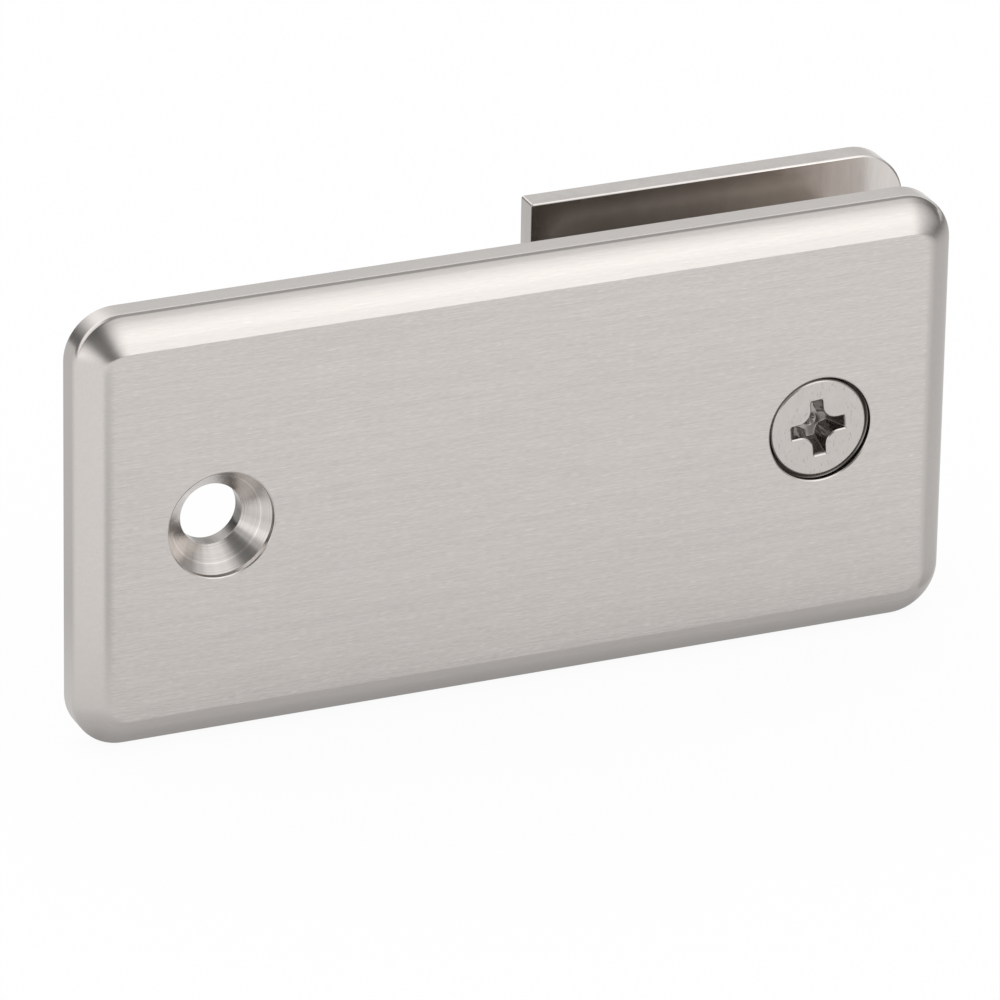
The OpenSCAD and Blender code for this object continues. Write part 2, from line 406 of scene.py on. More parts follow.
# %% A sheet with one hole
SHEET_RAYS, SHEET_CORNER_STEPS = 96, 12


def holed_sheet(low, high, radii, bevel, hole, keen=1.0):
    """A rounded sheet between two depths, with broken edges and a hole round the clamp screw's axis.

    Rows run over the rounded outer edge from front to back and through the hole from back to front;
    hole is its section as (radius, depth from the sheet's front). Keen is the share of the bevel that
    is left along the sheet's left end.
    """
    shape = ((low + high)[[0, 2]] / 2, (high - low)[[0, 2]] / 2, np.asarray(radii, float))
    hub = np.array([CLAMP_X, 0.0])
    places = even_places(0, 4, shape, hub, SHEET_RAYS, SHEET_CORNER_STEPS)[:-1]
    thick = high[1] - low[1]
    low_corner, high_corner = 0.6 * bevel, thick - 0.6 * bevel
    corners = [[1, 0], [bevel, 0], [0, low_corner], [0, high_corner], [bevel, thick], [1, thick]]
    edge = soft_profile(corners, [0, *[bevel / 6] * 4, 0], closed=False)[1:-1]
    broken = np.where(outline(places, *shape)[:, 0] < low[0] + 1e-6, keen, 1.0)
    rays = towards(outline(places, *shape, edge[0, 0]), hub)
    rows = [ring(outline(places, *shape, inset * broken), low[1] + depth) for inset, depth in edge]
    rows += [ring(hub + radius * rays, low[1] + depth) for radius, depth in hole]
    points = np.array(rows)
    return points, grid_faces(*points.shape[:2])


print("a sheet has", SHEET_RAYS, "rays and", SHEET_CORNER_STEPS, "steps in each corner")

# %% Back plate
SAWN_R, SAWN_KEEN, JAW_EDGE = 0.3, 0.25, 0.2
NECK_R, NECK_GAP, SWAGE = 4.3, 0.02, 0.5
jaw_t = jaw_high[1] - jaw_low[1]
seat_r = NECK_R + NECK_GAP
seat = soft_profile(
    [
        [seat_r + SWAGE + 1, jaw_t],
        [seat_r + SWAGE, jaw_t],
        [seat_r, jaw_t - SWAGE],
        [seat_r, 0],
        [seat_r + 1, 0],
    ],
    [0, 0.05, 0.05, 0.1, 0],
    closed=False,
)[1:-1]
back_plate = make_piece(
    "back_plate_skin",
    *holed_sheet(jaw_low, jaw_high, [CORNER_R, SAWN_R, SAWN_R, CORNER_R], JAW_EDGE, seat, SAWN_KEEN),
    "back_plate",
    "back_jaw",
    "polished_plate",
)

# %% Gaskets
GASKET_R, GASKET_HOLE_GAP, PAD_EDGE = 3.0, 0.3, 0.1
gaskets = []
for node, body in (("front_gasket", "front_plate"), ("back_gasket", "back_jaw")):
    low, high = mm_box(node)
    thick = high[1] - low[1]
    hole_r = SLEEVE_R + GASKET_HOLE_GAP
    hole = soft_profile(
        [[hole_r + 1, thick], [hole_r, thick], [hole_r, 0], [hole_r + 1, 0]],
        [0, 0.1, 0.1, 0],
        closed=False,
    )[1:-1]
    sheet = holed_sheet(low, high, [GASKET_R] * 4, PAD_EDGE, hole)
    gaskets.append(make_piece(f"{node}_skin", *sheet, node, body, "gasket_rubber"))

# %% [markdown]
# ## The clamp screw
#
# The screw is one grid too. Its rows start at the bottom of the cross recess, climb the recess, cross
# the flat face, go round the head, down the cone and along the thread to the tip. What makes that
# possible is that every point of the cross is seen from the axis without anything in between, so
# rays from the axis can serve as columns all the way. The thread is a radius that rises and falls
# with the depth and the angle together: one full turn moves it on by one pitch.

# %% Clamp screw: the cross recess
RECESS_SPAN, WING_W, WING_FILLET = 6.5, 1.5, 1.6
RECESS_DEPTH, RECESS_SLOPE, RECESS_TURN = 2.6, math.radians(26), math.radians(5)
WING_DRAFT = math.radians(4)
WING_TIP_R = 0.18


def cross_ring(depth, grow=0.0):
    """The cross at some depth below the head's face, as (x, z) points round the screw's axis.

    One eighth is built, from the middle of a wing's tip round its corner, along its side and through
    half of the fillet to the diagonal. It is mirrored in the diagonal and turned by four quarters.
    """
    tip = RECESS_SPAN / 2 - depth * math.tan(RECESS_SLOPE) + grow
    side = WING_W / 2 - depth * math.tan(WING_DRAFT) + grow
    fillet = min(WING_FILLET - grow, tip - side - WING_TIP_R - 0.05)
    corner = soft_corner([tip, 0], [tip, side], [0, side], WING_TIP_R)
    angle = np.radians(np.linspace(-90, -135, 9))
    curve = side + fillet + fillet * np.stack([np.cos(angle), np.sin(angle)], axis=1)
    along = np.linspace(corner[-1], curve[0], 5)[1:-1]
    eighth = np.vstack([[tip, 0], [tip, side / 2], corner, along, curve])
    quarter = np.vstack([eighth, eighth[-2:0:-1, ::-1]])
    turn = RECESS_TURN + np.arange(4) * np.pi / 2
    spins = np.array([[np.cos(turn), np.sin(turn)], [-np.sin(turn), np.cos(turn)]]).transpose(2, 0, 1)
    return (quarter @ spins).reshape(-1, 2)


print("points of a ring of the screw:", len(cross_ring(0)))

# %% Clamp screw: the thread
CREST_SHARE, ROOT_SHARE = 0.125, 0.25


def thread_height(y, angle):
    """How far a thread rises, from 0 at its root to 1 at its crest.

    Phase = depth / pitch + angle / full turn, so that the crest climbs one pitch in a turn. A triangle
    wave of the phase is cut off flat at the crest, for an eighth of the pitch, and at the root, for a
    quarter.
    """
    phase = (y / PITCH + angle / (2 * np.pi)) % 1
    return np.clip((abs(2 * phase - 1) - ROOT_SHARE) / (1 - ROOT_SHARE - CREST_SHARE), 0, 1)


half_pitch = np.linspace(0.5, 1, 5) * PITCH
print("thread from root to crest:", np.round(thread_height(half_pitch, 0), 2))

# %% Clamp screw: the whole grid
HEAD_RIM, HEAD_EDGE_R, TIP_CHAMFER = 0.6, 0.3, 0.8
THREAD_DEPTH = 0.61
ROWS_PER_PITCH = 16
LIP_W, LIP_D = 0.14, 0.1
POINT_R, POINT_H = 0.75, 0.75
POLE = 1e-4
head_y = screw_low[1]


def screw_grid():
    """Rows of the clamp screw from the bottom of its recess to its tip, round its own axis."""
    face = cross_ring(0)
    rays = face / np.linalg.norm(face, axis=1)[:, None]
    angle = np.arctan2(rays[:, 1], rays[:, 0])
    floor_ring, dimple = cross_ring(RECESS_DEPTH), rays * POINT_R
    rows = [ring(dimple * u, head_y + RECESS_DEPTH + POINT_H * (1 - u)) for u in (POLE, 0.5, 0.93)]
    rows += [ring(dimple + (floor_ring - dimple) * u, head_y + RECESS_DEPTH) for u in (0.05, 0.5, 0.97)]
    rows += [ring(cross_ring(d), head_y + d) for d in np.linspace(RECESS_DEPTH - 0.04, LIP_D + 0.03, 9)]
    lip = soft_profile([[0, 0.5], [0, LIP_D], [LIP_W, 0], [1, 0]], [0, 0.05, 0.05, 0], closed=False)[1:-1]
    rows += [ring(cross_ring(0, grow), head_y + d) for grow, d in lip]
    neck_y = head_y + HEAD_RIM + HEAD_R - THREAD_R
    head = soft_profile(
        [
            [0, head_y],
            [HEAD_R, head_y],
            [HEAD_R, head_y + HEAD_RIM + 0.05],
            [THREAD_R, neck_y + 0.05],
            [THREAD_R, neck_y + 1],
        ],
        [0, HEAD_EDGE_R, 0.04, 0.3, 0],
        closed=False,
    )[1:-1]
    rows += [ring(rays * radius, y) for radius, y in head]
    tip_y = screw_high[1]
    shank = np.arange(head[-1, 1] + PITCH / ROWS_PER_PITCH, tip_y - TIP_CHAMFER, PITCH / ROWS_PER_PITCH)
    depth = THREAD_DEPTH * np.clip((shank - shank[0]) / PITCH, 0, 1)
    drop = depth[:, None] * (1 - thread_height(shank[:, None], angle[None, :]))
    radius = THREAD_R - drop
    taper = np.linspace(0, 1, 9)[1:]
    cone_y = tip_y - TIP_CHAMFER * (1 - taper)
    cone_drop = THREAD_DEPTH * (1 - thread_height(cone_y[:, None], angle[None, :]))
    cone_r = THREAD_R - np.maximum(TIP_CHAMFER * taper[:, None], cone_drop)
    rows += [ring(rays * r[:, None], y) for r, y in zip(radius, shank)]
    rows += [ring(rays * r[:, None], y) for r, y in zip(cone_r, cone_y)]
    rows += [ring(rays * POLE, tip_y)]
    points = np.array(rows) + [CLAMP_X, 0, 0]
    return points, grid_faces(*points.shape[:2], closed_rows=False)


clamp_screw = make_piece("clamp_screw_skin", *screw_grid(), "clamp_screw", "clamp_screw", "screw_steel")

# %% [markdown]
# ## The bush and the sleeve
#
# A steel bush, tapped inside, is pushed through the back plate and its end is swaged outwards to lock
# it. A plastic sleeve slides over it and keeps the steel off the hole in the glass. Both are turned
# parts, so both are a closed profile carried round an axis. The bush's bore wears the same thread
# formula as the screw, so the two stay in step while the screw turns and the back plate travels.

# %% Turned parts
TURN_STEPS = 96


def turned(section):
    """A closed section (radius, y) carried round the clamp screw's axis: x = radius cos, z = radius sin."""
    angle = np.linspace(0, 2 * np.pi, TURN_STEPS, endpoint=False)
    radius, y = section[:, :1], section[:, 1:]
    points = np.stack([radius * np.cos(angle), y + 0 * angle, radius * np.sin(angle)], axis=-1)
    return points, angle


print("a turned part has", TURN_STEPS, "steps, each of", 360 / TURN_STEPS, "degrees")

# %% Bush
BORE_R, BORE_CHAMFER = 3.05, 0.5
BORE_THREAD, THREAD_FADE = 0.4, 0.3
bush_section = soft_profile(
    [
        [BORE_R + BORE_CHAMFER, bush_high[1]],
        [NECK_R + SWAGE, bush_high[1]],
        [NECK_R, bush_high[1] - SWAGE],
        [NECK_R, jaw_low[1]],
        [BUSH_R, jaw_low[1]],
        [BUSH_R, bush_low[1]],
        [BORE_R + BORE_CHAMFER, bush_low[1]],
        [BORE_R, bush_low[1] + BORE_CHAMFER],
    ],
    [0.08, 0.1, 0.03, 0.03, 0.03, 0.15, 0.08, 0],
)
bore_rows = np.arange(bush_low[1] + BORE_CHAMFER + 0.1, bush_high[1] - BORE_CHAMFER, PITCH / ROWS_PER_PITCH)
bore = np.stack([np.full(len(bore_rows), BORE_R), bore_rows], axis=1)
bush_points, bush_angle = turned(np.vstack([bush_section, bore]))
groove = thread_height(bore_rows[:, None], bush_angle[None, :]) * BORE_THREAD
from_end = np.minimum(bore_rows - bore_rows[0], bore_rows[-1] - bore_rows)
fade = np.clip(from_end / THREAD_FADE, 0, 1)[:, None]
bush_points[-len(bore_rows) :, :, [0, 2]] *= (1 + groove * fade / BORE_R)[..., None]
threaded_bush = make_piece(
    "threaded_bush_skin",
    bush_points + [CLAMP_X, 0, 0],
    grid_faces(*bush_points.shape[:2]),
    "threaded_bush",
    "back_jaw",
    "bush_steel",
)

# %% Sleeve
SLEEVE_IN_R, NOSE_CHAMFER = 5.1, 0.4
sleeve_section = soft_profile(
    [
        [SLEEVE_IN_R, sleeve_high[1]],
        [SLEEVE_R, sleeve_high[1]],
        [SLEEVE_R, sleeve_low[1] + NOSE_CHAMFER],
        [SLEEVE_R - NOSE_CHAMFER, sleeve_low[1]],
        [SLEEVE_IN_R, sleeve_low[1]],
    ],
    [0.05, 0.05, 0.2, 0.2, 0.1],
)
sleeve_points, _ = turned(sleeve_section)
glass_sleeve = make_piece(
    "glass_sleeve_skin",
    sleeve_points + [CLAMP_X, 0, 0],
    grid_faces(*sleeve_points.shape[:2]),
    "glass_sleeve",
    "back_jaw",
    "sleeve_plastic",
)

# %% [markdown]
# ## A short way to write materials
#
# A material is a sum in disguise: coordinates go in, masks and heights come out. Written node by node
# it fills pages, so the class below wraps a socket and lets Python's own operators add the Math nodes.
# One method adds every other kind of node.


# %% A socket that can be added to and multiplied
class Wire:
    """One output of a node. Arithmetic on it adds Math nodes, and node() adds any other."""

    def __init__(self, tree, socket=None):
        self.tree, self.socket = tree, socket

    def node(self, kind, settings=None, inputs=None, out=0):
        """Adds a node: its settings first (stops fill a ramp), then the value or wire of each input."""
        made = self.tree.nodes.new(kind)
        for name, value in (settings or {}).items():
            if name == "stops":
                fill_ramp(made.color_ramp, value)
            else:
                setattr(made, name, value)
        for name, value in (inputs or {}).items():
            if isinstance(value, Wire):
                self.tree.links.new(value.socket, made.inputs[name])
            else:
                made.inputs[name].default_value = value
        return Wire(self.tree, made.outputs[out] if made.outputs else None)

    def math(self, operation, *values):
        return self.node("ShaderNodeMath", {"operation": operation}, dict(enumerate(values)))

    def vector(self, operation, *values, out="Vector"):
        return self.node("ShaderNodeVectorMath", {"operation": operation}, dict(enumerate(values)), out)

    def __add__(self, other):
        return self.math("ADD", self, other)

    def __sub__(self, other):
        return self.math("SUBTRACT", self, other)

    def __rsub__(self, other):
        return self.math("SUBTRACT", other, self)

    def __mul__(self, other):
        return self.math("MULTIPLY", self, other)

    def __truediv__(self, other):
        return self.math("DIVIDE", self, other)

    def __gt__(self, other):
        return self.math("GREATER_THAN", self, other)

    def __lt__(self, other):
        return self.math("LESS_THAN", self, other)

    __radd__ = __add__


print("a Wire can:", ", ".join(name for name in vars(Wire) if not name.startswith("__")))

# %% [markdown]
# ## Ramps
#
# Most tones below are a ramp: a few stops, and straight lines between them. A node's own ramp runs from
# 0 to 1 only, so grey_ramp takes the stops in the wire's units, be they degrees or millimetres, and
# stretches the wire to fit.


# %% Ramps, and the start of a material
def fill_ramp(ramp, stops):
    """Fills a colour ramp with (position, grey) stops."""
    while len(ramp.elements) < len(stops):
        ramp.elements.new(0.5)
    for element, (position, grey) in zip(ramp.elements, stops):
        element.position, element.color = position, (grey, grey, grey, 1)


def grey_ramp(wire, stops):
    """Greys over a wire's value; the stops are (value, grey), and past the ends the last grey stays."""
    low, high = stops[0][0], stops[-1][0]
    filled = [((value - low) / (high - low), grey) for value, grey in stops]
    return wire.node("ShaderNodeValToRGB", {"stops": filled}, {0: (wire - low) / (high - low)})


def start_material(name):
    """A new material with its shader, and a Wire on the object's own coordinates."""
    material = bpy.data.materials.new(name)
    material.use_nodes = True
    tree = material.node_tree
    shader = tree.nodes["Principled BSDF"]
    place = Wire(tree).node("ShaderNodeTexCoord", out="Object")
    return material, shader, place


def plug(shader, **inputs):
    """Sets or links the shader's inputs; a name's underscores are spaces."""
    for name, value in inputs.items():
        socket = shader.inputs[name.replace("_", " ")]
        if isinstance(value, Wire):
            shader.id_data.links.new(value.socket, socket)
        else:
            socket.default_value = value


print("made: fill_ramp, grey_ramp, start_material and plug")

# %% [markdown]
# ## Steel
#
# Four pieces are of the same steel, and only their surfaces differ. So one function makes the steel,
# and each finish hands it a shade that multiplies the colour, a height in micrometres that tilts the
# surface, and a roughness.

# %% Steel
STEEL = (0.65, 0.614, 0.588)


def grains(place, sizes, detail=2.0):
    """Noise whose grains have the given sizes along X, Y and Z, in millimetres."""
    stretched = place.vector("MULTIPLY", place, tuple(1 / size / MM for size in sizes))
    return place.node("ShaderNodeTexNoise", {}, {"Vector": stretched, "Scale": 1.0, "Detail": detail})


def about(place, x):
    """Distance in millimetres from the axis at x, and the direction away from it."""
    away = place.vector("MULTIPLY_ADD", place, (1 / MM, 0, 1 / MM), (-x, 0, 0))
    return away.vector("LENGTH", away, out="Value"), away.vector("NORMALIZE", away)


def depth_below(place, y):
    """How far a point lies behind the plane at y, in millimetres."""
    return place.vector("DOT_PRODUCT", place, (0, 1 / MM, 0), out="Value") - y


def steel(name, finish):
    """A steel material; finish turns the object's coordinates into shade, height and roughness."""
    material, shader, place = start_material(name)
    shade, height, roughness = finish(place)
    settings = {"data_type": "RGBA", "blend_type": "MULTIPLY"}
    colour = place.node("ShaderNodeMix", settings, {0: 1.0, 6: (*STEEL, 1), 7: shade}, out=2)
    bump = place.node("ShaderNodeBump", {}, {"Strength": 1.0, "Distance": 1e-6, "Height": height})
    plug(shader, Base_Color=colour, Metallic=1.0, Roughness=roughness, Normal=bump)
    print(f"{name}: {len(material.node_tree.nodes)} nodes")
    return material


print("steel reflects", STEEL, "of red, green and blue")

# %% [markdown]
# ## The brushed front plate
#
# The belt leaves fine scratches along X, a few millimetres long and a tenth of one wide, over longer
# and fainter bands. They change the tone by a few hundredths and tilt the surface a very little. It
# presses hardest on the face; on the bevel and the sides the scratches are faint.
#
# The countersinks were cut after that, and the cutter left rings round their axis. It also chattered, so
# the cone isn't quite round: it has slow waves. The waves are also painted into the colour as light and
# dark sectors, a painted reflection, turned round the axis by a set angle. A thin ring where the cutter
# paused is painted brighter, as a painted highlight. The bore of the fixing hole and the hole round the
# clamp screw are painted darker, as painted shade.

# %% Finish of the front plate
RING_R, RING_W, RINGS_PER_MM = 5.1, 0.1, 9
SECTOR_TURN, WAVE_SCALE = 2.2, 3.2
BORE_LENGTH, CREVICE_FROM = 2.1, 0.4
FACE_DEPTH = 0.03
SATIN = 0.2


def brushed_plate(place):
    """Scratches along X; in the fixing hole's cone the cutter's rings and waves, the waves also painted as
    light and dark sectors, with a painted highlight ring; painted shade in the holes.
    """
    lines = grains(place, (4.0, 0.16, 0.16), 3.0) * 0.5 + grains(place, (0.9, 0.12, 0.12)) * 0.6 - 0.55
    bands = grains(place, (40.0, 0.9, 0.9)) - 0.5
    scratches = grains(place, (1.3, 0.11, 0.11), 0.0) > 0.68
    deep = depth_below(place, FACE_Y)
    fix_r, fix_way = about(place, -CLAMP_X)
    clamp_r, _ = about(place, CLAMP_X)
    cut = (fix_r < SINK_R) * (deep < PLATE_T - 1)
    # Painted shade: the fixing hole's bore and the hole round the clamp screw are painted darker.
    bore = (deep > PLATE_T - BORE_LENGTH) * (fix_r < FIX_R + 0.1)
    crevice_shade = (deep > CREVICE_FROM) * (clamp_r < SINK_R)
    # The cone's slow waves are real bumps and also a painted reflection: they tint the colour in light and
    # dark sectors, turned round the axis by SECTOR_TURN.
    start = {"Vector": fix_way, "Angle": SECTOR_TURN}
    fix_way = place.node("ShaderNodeVectorRotate", {"rotation_type": "Y_AXIS"}, start)
    round_axis = {"Vector": fix_way, "Scale": WAVE_SCALE, "Detail": 1.0}
    chatter_and_painted_sectors = place.node("ShaderNodeTexNoise", {}, round_axis) - 0.5
    from_axis = {"W": fix_r * RINGS_PER_MM, "Scale": 1.0}
    rings = place.node("ShaderNodeTexNoise", {"noise_dimensions": "1D"}, from_axis) - 0.5
    # A thin ring at RING_R, painted brighter: a painted highlight.
    off_ring = fix_r - RING_R
    pause_highlight = 1 - off_ring.math("ABSOLUTE", off_ring) / RING_W
    pause_highlight = pause_highlight.math("MAXIMUM", pause_highlight, 0.0)
    pressed = (0.35 + (deep < FACE_DEPTH) * 0.65) * (1 - cut)
    brushed = lines * 0.45 + bands * 0.1 + scratches * 0.07
    turned = chatter_and_painted_sectors * 0.5 + rings * 0.3 + pause_highlight * 0.3
    shade = 1 + brushed * pressed + turned * cut - bore * 0.5 - crevice_shade * 0.5
    height = lines * 0.9 * pressed + (rings * 4.0 + chatter_and_painted_sectors * 50.0) * cut
    return shade, height, SATIN


front_plate.data.materials.append(steel("brushed_plate", brushed_plate))

# %% [markdown]
# ## The back plate, the screw and the bush
#
# The back plate was ground across its length, and finer than the front plate. Its inner face is painted
# darker at the left and lighter at the right: painted light, from the open right end of the gap between the
# plates. The screw was tumbled with others: its face is even, but for small dark nicks. Its recess is
# painted darker, as painted shade, and so is a thin line round the head. The bush is plain turned steel.

# %% Finishes of the back plate, the screw and the bush
TUMBLED, TURNED = 0.16, 0.3
ON_FACE = 0.05
# Painted light and shade on the back plate's inner face, over x in millimetres: darker at the left, lighter
# at the right, where the gap between the plates is open.
PAINTED_GAP_LIGHT = [(8, 0.6), (16, 0.66), (27, 0.87), (34, 1.16), (40, 1.25), (46, 1.1)]


def ground_plate(place):
    """Fine lines along Z, faint clouds, and painted light on the inner face, darker at the left and lighter
    at the right.
    """
    lines = grains(place, (0.25, 0.25, 3.0)) - 0.5
    clouds = grains(place, (1.8, 1.8, 5.0), 3.0) - 0.5
    inner = depth_below(place, jaw_low[1]) < ON_FACE
    painted_gap_light = grey_ramp(place.vector("DOT_PRODUCT", place, (1 / MM, 0, 0), out="Value"), PAINTED_GAP_LIGHT)
    shade = (1 + lines * 0.12 + clouds * 0.2) * (1 + (painted_gap_light - 1) * inner)
    return shade, lines * 1.5 + clouds * 8.0, SATIN


def tumbled_screw(place):
    """An even face with nicks, and painted shade in the recess and in a line round the head."""
    radius, _ = about(place, CLAMP_X)
    deep = depth_below(place, head_y)
    # Painted shade: the recess and a thin line round the head, where it sits in the countersink, are
    # painted darker.
    recess_shade = (deep > LIP_D) * (deep < RECESS_DEPTH + POINT_H) * (radius < RECESS_SPAN / 2 + 0.05)
    crevice_shade = (deep > 0.2) * (radius > HEAD_R - 0.06)
    face = deep < ON_FACE
    cloud = grains(place, (0.9, 0.9, 0.9), 3.0) - 0.5
    nicks = (grains(place, (0.2, 0.3, 0.5), 1.0) > 0.67) * face
    shade = 0.95 + cloud * 0.12 - nicks * 0.16 - recess_shade * 0.34 - crevice_shade * 0.35
    return shade, cloud * face * 2.0, TUMBLED


def turned_bush(place):
    """Faint rings, close along the axis."""
    cloud = grains(place, (0.4, 0.05, 0.4)) - 0.5
    return 0.95 + cloud * 0.2, cloud * 1.0, TURNED


back_plate.data.materials.append(steel("polished_plate", ground_plate))
clamp_screw.data.materials.append(steel("screw_steel", tumbled_screw))
threaded_bush.data.materials.append(steel("bush_steel", turned_bush))

# %% [markdown]
# ## Rubber and plastic
#
# These aren't metal: their colour is their own, and only a weak sheen lies on top.


# %% Rubber and plastic
def moulded(name, colour, roughness, grain):
    """A dull moulded surface with a fine grain; grain is its height in micrometres."""
    material, shader, place = start_material(name)
    pits = place.node("ShaderNodeTexNoise", {}, {"Vector": place, "Scale": 2500.0, "Detail": 2.0})
    bump = place.node("ShaderNodeBump", {}, {"Strength": 1.0, "Distance": grain * 1e-6, "Height": pits})
    plug(shader, Base_Color=(*colour, 1), Roughness=pits * 0.2 + (roughness - 0.1), Normal=bump)
    print(f"{name}: {len(material.node_tree.nodes)} nodes")
    return material


rubber = moulded("gasket_rubber", (0.50, 0.455, 0.41), 0.75, 12.0)
for gasket in gaskets:
    gasket.data.materials.append(rubber)
glass_sleeve.data.materials.append(moulded("sleeve_plastic", (0.70, 0.68, 0.62), 0.45, 4.0))

# %% [markdown]
# ## The studio
#
# Metal shows nothing but its surroundings, so a steel part is lit by deciding what it will mirror. The
# photograph shows a broad soft lamp high in front, a dark gap straight above it and a calm pale wall
# behind: a ramp over one angle, from the front horizon over the top to the back.
#
# The bevel turns round the plate's corners, and there it mirrors a fan of directions. All of them
# spread from the one that the flat face mirrors, so the angle round that direction is the angle round
# the corner. A second ramp, over this angle, hangs a dark flag beside the lamp, which draws the dark
# wedge in the top left corner, and lets the lamp fade to the right. The wall behind has a ramp of its
# own over the same angle, and a small lamp above the flag lights the corner's outer edge.
#
# All that is only for what mirrors. The camera sees plain white, and dull surfaces get plain light.

# %% World: the ramps
STUDIO_PEAK = 1.59
LAMP = [(0, 0.76), (11, 0.9), (24, 0.98), (40, 0.98), (52, 0.88), (65, 0.73), (76, 0.54), (82, 0.3)]
LAMP += [(130, 0.3), (138, 0.82), (146, 0.82), (152, 0.46)]
FLAG = [(22, 0.84), (30, 0.72), (36, 0.42), (42, 0.16), (55, 0.13), (62, 0.26), (69, 0.62), (78, 0.88)]
FLAG += [(90, 1.0), (97, 0.95), (105, 0.72), (120, 0.47), (135, 0.28), (147, 0.13)]
WALL_FROM = 134
WALL = [(18, 0.75), (24, 0.3), (35, 0.2), (42, 0.45), (50, 0.9), (60, 1.2), (68, 1.15), (78, 1.0)]
EDGE_LAMP = [(88, 0), (100, 0.72), (144, 0.72), (154, 0)]
EDGE_LAMP_END = [(62, 1), (74, 0)]
FACE_MIRRORS = (0.362, -0.417)
for name, ramp in (("lamp", LAMP), ("flag", FLAG), ("wall", WALL), ("edge lamp", EDGE_LAMP)):
    greys = [grey for _, grey in ramp]
    print(f"{name}: {len(ramp)} stops, greys {min(greys)} to {max(greys)}")

# %% World: the nodes
DEGREES = 180 / math.pi
WHITE = (1, 1, 1, 1)
world = bpy.data.worlds.new("studio")
bpy.context.scene.world = world
world.use_nodes = True
world.node_tree.nodes.clear()
air = Wire(world.node_tree)
direction = air.node("ShaderNodeTexCoord", out="Generated")
rightward = direction.vector("DOT_PRODUCT", direction, (1, 0, 0), out="Value")
forward = direction.vector("DOT_PRODUCT", direction, (0, -1, 0), out="Value")
upward = direction.vector("DOT_PRODUCT", direction, (0, 0, 1), out="Value")
over = air.math("ARCTAN2", upward, forward) * DEGREES
round_face = air.math("ARCTAN2", upward - FACE_MIRRORS[1], FACE_MIRRORS[0] - rightward) * DEGREES
flag, wall = grey_ramp(round_face, FLAG), grey_ramp(round_face, WALL)
tent = grey_ramp(over, LAMP) * (flag + (wall - flag) * (over > WALL_FROM))
edge_lamp = grey_ramp(over, EDGE_LAMP) * grey_ramp(round_face, EDGE_LAMP_END)
mirrored = (tent * (1 - edge_lamp) + edge_lamp) * STUDIO_PEAK
scattered = air.node("ShaderNodeLightPath", out="Is Diffuse Ray")
strength = mirrored + (1 - mirrored) * scattered
studio = air.node("ShaderNodeBackground", {}, {"Color": WHITE, "Strength": strength})
plain = air.node("ShaderNodeBackground", {}, {"Color": WHITE, "Strength": 1.0})
seen = air.node("ShaderNodeLightPath", out="Is Camera Ray")
mixed = air.node("ShaderNodeMixShader", {}, {0: seen, 1: studio, 2: plain})
air.node("ShaderNodeOutputWorld", {}, {"Surface": mixed})
print("studio:", len(world.node_tree.nodes), "nodes, brightest", STUDIO_PEAK)

# %% [markdown]
# ## The floor
#
# The floor is white paper. The camera sees it almost as pure white, and only the clamp's soft shadow is
# left on it. The steel sees it as a glow, with a few things on it that give each side of the bevel its own
# tone: a painted shadow about the clamp's own foot, a grey card on the right that darkens with distance,
# one behind on the left, and a narrow dark strip in front of the left end, from a finger's width to a
# hand's length away. Cards and strip are sectors, so each is a ramp over the angle round a front corner of
# the plate, from behind over the left, the front and the right to behind again; 0 is straight in front.

# %% Floor: a sheet of paper
FLOOR_SIZE = 8.0
floor_z = plate_low[2] * MM
floor_mesh = bpy.data.meshes.new("floor")
floor_mesh.from_pydata([(x, y, floor_z) for x, y in CORNER_SIGNS * FLOOR_SIZE], [], [(0, 1, 2, 3)])
floor = bpy.data.objects.new("floor", floor_mesh)
bpy.context.scene.collection.objects.link(floor)
floor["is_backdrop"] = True
floor_paint, floor_shader, floor_place = start_material("floor_paint")
plug(floor_shader, Base_Color=(0.95, 0.95, 0.95, 1), Roughness=0.9, Specular_IOR_Level=0.0)
print("floor at z =", round(floor_z / MM, 2), "mm")

# %% Floor: angles and distances on it
FOOT_INSET = 2.5


def round_corner(place, x):
    """The angle in degrees and the distance in millimetres of the floor's points, seen from (x, face)."""
    away = place.vector("SUBTRACT", place, (x * MM, FACE_Y * MM, floor_z))
    aside = away.vector("DOT_PRODUCT", away, (1, 0, 0), out="Value")
    front = away.vector("DOT_PRODUCT", away, (0, -1, 0), out="Value")
    distance = away.vector("LENGTH", away, out="Value") / MM
    return away.math("ARCTAN2", aside, front) * DEGREES, distance


def foot_distance(place):
    """Distance in millimetres from the plate's footprint: the length of max(|point - middle| - half, 0)."""
    middle = (plate_low + plate_high) / 2
    half = (plate_high - plate_low) / 2 - [FOOT_INSET, FOOT_INSET, 0]
    beyond = place.vector("SUBTRACT", place, tuple(middle * MM))
    beyond = beyond.vector("ABSOLUTE", beyond)
    beyond = beyond.vector("SUBTRACT", beyond, tuple(half * MM))
    beyond = beyond.vector("MAXIMUM", beyond, (0, 0, 0))
    return beyond.vector("LENGTH", beyond, out="Value") / MM


print("the foot ends", FOOT_INSET, "mm inside the plate's outline")

# %% Floor: the shade at the foot, the cards and the strip
CAMERA_SHARE, MIRROR_SHARE = 0.93, 0.85
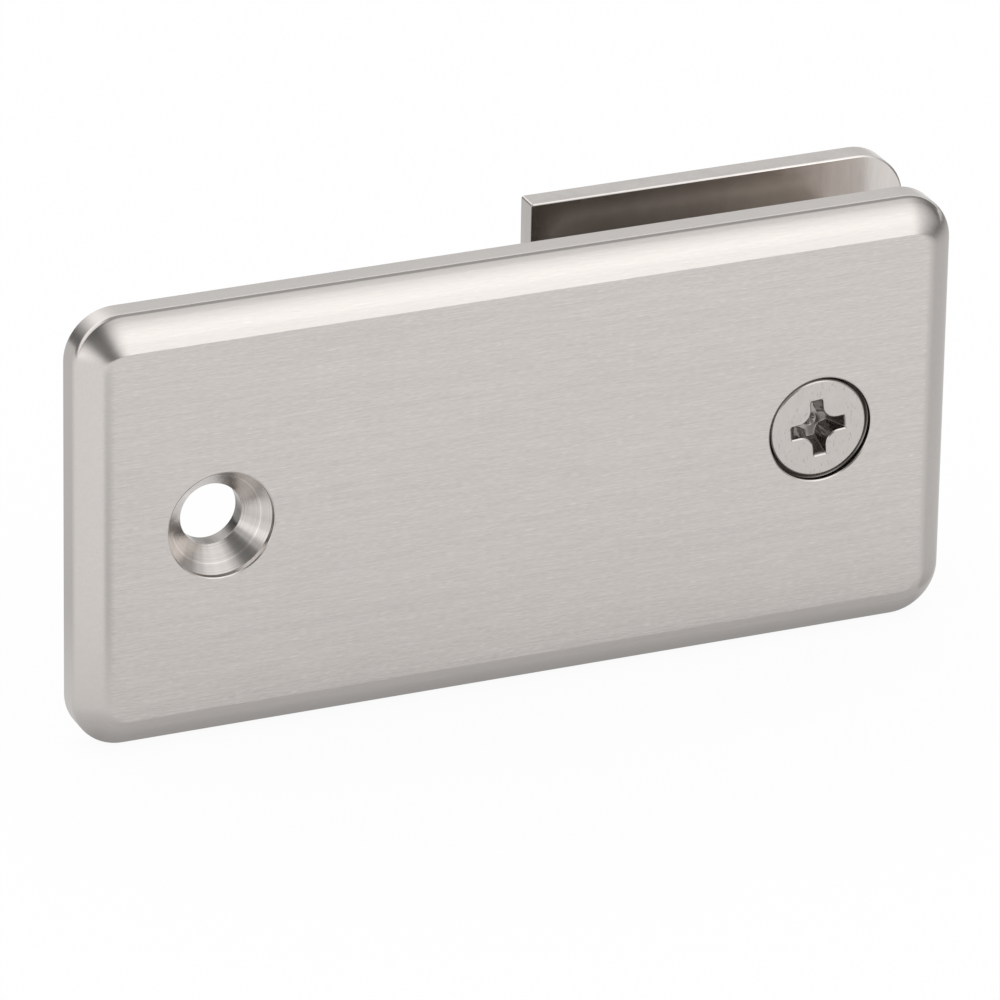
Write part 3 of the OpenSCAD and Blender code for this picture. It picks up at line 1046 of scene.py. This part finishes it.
# FOOT is a painted shadow: the glow that the steel sees is darkened about the plate's foot, since a glow
# takes no shadow.
FOOT = [(0, 0.4), (2.5, 0.55), (4.5, 0.61), (11.5, 0.78), (17.5, 0.83), (37, 0.885), (92, 0.93)]
LEFT_CARD = [(-156, 0.65), (-100, 1.03), (-26, 1.07), (-8, 1), (165, 1), (172, 0.64)]
LEFT_NEAR = [(9, 0), (39, 1)]
STRIP = [(-20, 0), (-11, 0.3), (-4, 0.31), (20, 0)]
STRIP_REACH = [(9, 0), (35, 1), (65, 1), (100, 0.6), (200, 0)]
RIGHT_CARD = [(30, 0), (62, 1), (125, 1), (150, -0.5)]
RIGHT_FAR = [(12, 0.73), (94, 0.65), (160, 0.58), (260, 0.42), (600, 0.16)]
angle, distance = round_corner(floor_place, plate_low[0])
left_card = 1 + (grey_ramp(angle, LEFT_CARD) - 1) * grey_ramp(distance, LEFT_NEAR)
angle, distance = round_corner(floor_place, plate_low[0] + BEVEL_W)
strip = 1 - grey_ramp(angle, STRIP) * grey_ramp(distance, STRIP_REACH)
angle, distance = round_corner(floor_place, plate_high[0])
right_card = 1 - grey_ramp(angle, RIGHT_CARD) * (1 - grey_ramp(distance, RIGHT_FAR))
tone = grey_ramp(foot_distance(floor_place), FOOT) * left_card * strip * right_card
floor_seen = floor_place.node("ShaderNodeLightPath", out="Is Camera Ray")
floor_mirrored = floor_place.node("ShaderNodeLightPath", out="Is Glossy Ray")
shine = floor_seen + floor_mirrored * tone
glow = floor_place.node("ShaderNodeEmission", {}, {"Color": WHITE, "Strength": shine})
share = floor_seen * CAMERA_SHARE + floor_mirrored * MIRROR_SHARE
paper = Wire(floor_paint.node_tree, floor_shader.outputs[0])
painted = floor_place.node("ShaderNodeMixShader", {}, {0: share, 1: paper, 2: glow})
floor_place.node("ShaderNodeOutputMaterial", {"is_active_output": True}, {"Surface": painted})
floor.data.materials.append(floor_paint)
print("floor paint:", len(floor_paint.node_tree.nodes), "nodes")

# %% [markdown]
# ## The camera
#
# The photograph was taken with a long lens from the left and above, and the camera was rolled a little
# about its own axis. The angles, the lens and the point in the middle of the picture were found by
# laying the model's known edges over those of the photograph.

# %% Camera
TURN, RISE, ROLL = (math.radians(a) for a in (-23.44, 24.64, 1.05))
LENS, SENSOR = 343.8, 36.0
DISTANCE = 1027.4
AIM_RIGHT, AIM_UP = -2.673, -2.499

back = Vector((math.sin(TURN) * math.cos(RISE), -math.cos(TURN) * math.cos(RISE), math.sin(RISE)))
level = (-back).cross(Vector((0, 0, 1))).normalized()
upright = level.cross(-back)
right = math.cos(ROLL) * level + math.sin(ROLL) * upright
up = math.cos(ROLL) * upright - math.sin(ROLL) * level
aim = Vector((0, FACE_Y, 0)) + right * AIM_RIGHT + up * AIM_UP
lens = bpy.data.cameras.new("camera")
lens.lens, lens.sensor_width = LENS, SENSOR
lens.clip_start, lens.clip_end = 0.05, 100
camera = bpy.data.objects.new("camera", lens)
bpy.context.scene.collection.objects.link(camera)
turned_axes = Matrix((right, up, back)).transposed().to_4x4()
camera.matrix_world = Matrix.Translation((aim + back * DISTANCE) * MM) @ turned_axes
bpy.context.scene.camera = camera
bpy.context.scene.view_settings.view_transform = "Standard"
print("camera at", np.round(camera.matrix_world.translation, 3), "m")

# %% Finish
low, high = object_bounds()
